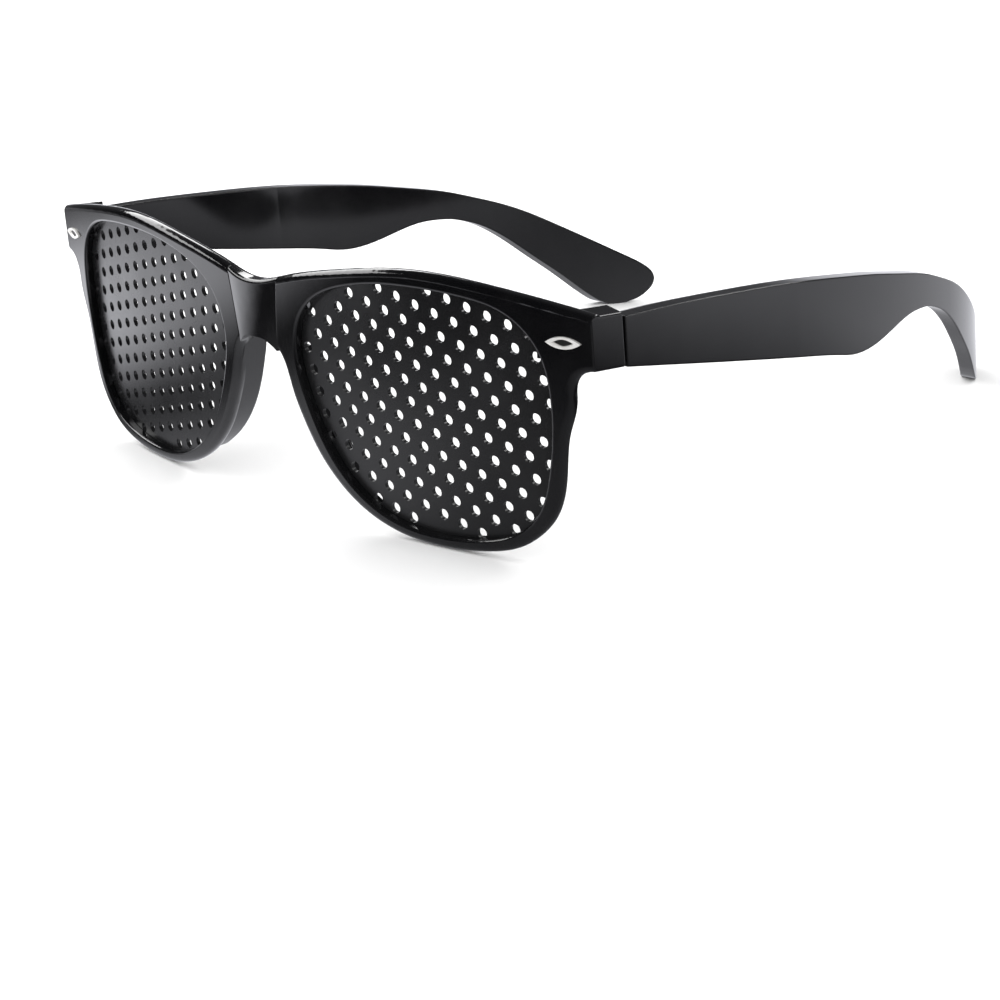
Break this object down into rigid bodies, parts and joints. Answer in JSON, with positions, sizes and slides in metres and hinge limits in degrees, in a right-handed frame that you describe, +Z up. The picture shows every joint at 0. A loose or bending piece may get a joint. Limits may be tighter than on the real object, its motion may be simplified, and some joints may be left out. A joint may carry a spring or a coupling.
{
  "type": "pinhole glasses",
  "caption": "Folding glasses with perforated plates in place of lenses, two hinged temples and almond trims on the front.",
  "frame": {"origin": "bottom centre of the bounding box, on the surface that the rims and temple tips stand on, temples open", "axes": "+X to the wearer's left, +Y from the front back along the temples, +Z up"},
  "size_m": [0.144, 0.1516, 0.0484],
  "materials": {
    "frame_plastic": "polished black",
    "plate_plastic": "satin black",
    "screw_steel": "plain",
    "trim_metal": "polished silver"
  },
  "bodies": {
    "front": {"front_frame": "frame_plastic", "left_lens_plate": "plate_plastic", "right_lens_plate": "plate_plastic", "left_hinge_screw": "screw_steel", "right_hinge_screw": "screw_steel", "left_trim_stud": "trim_metal", "right_trim_stud": "trim_metal"},
    "left_temple_arm": {"left_temple": "frame_plastic"},
    "right_temple_arm": {"right_temple": "frame_plastic"}
  },
  "joints": [
    {"name": "left_temple_fold", "type": "hinge", "parent": "front", "child": "left_temple_arm", "pos_m": [0.0665, -0.05693, 0.03959], "axis": [0, -0.0457, 0.999], "range_deg": [0, 84]},
    {"name": "right_temple_fold", "type": "hinge", "parent": "front", "child": "right_temple_arm", "pos_m": [-0.0665, -0.05693, 0.03959], "axis": [0, 0.0457, -0.999], "range_deg": [0, 77]}
  ]
}
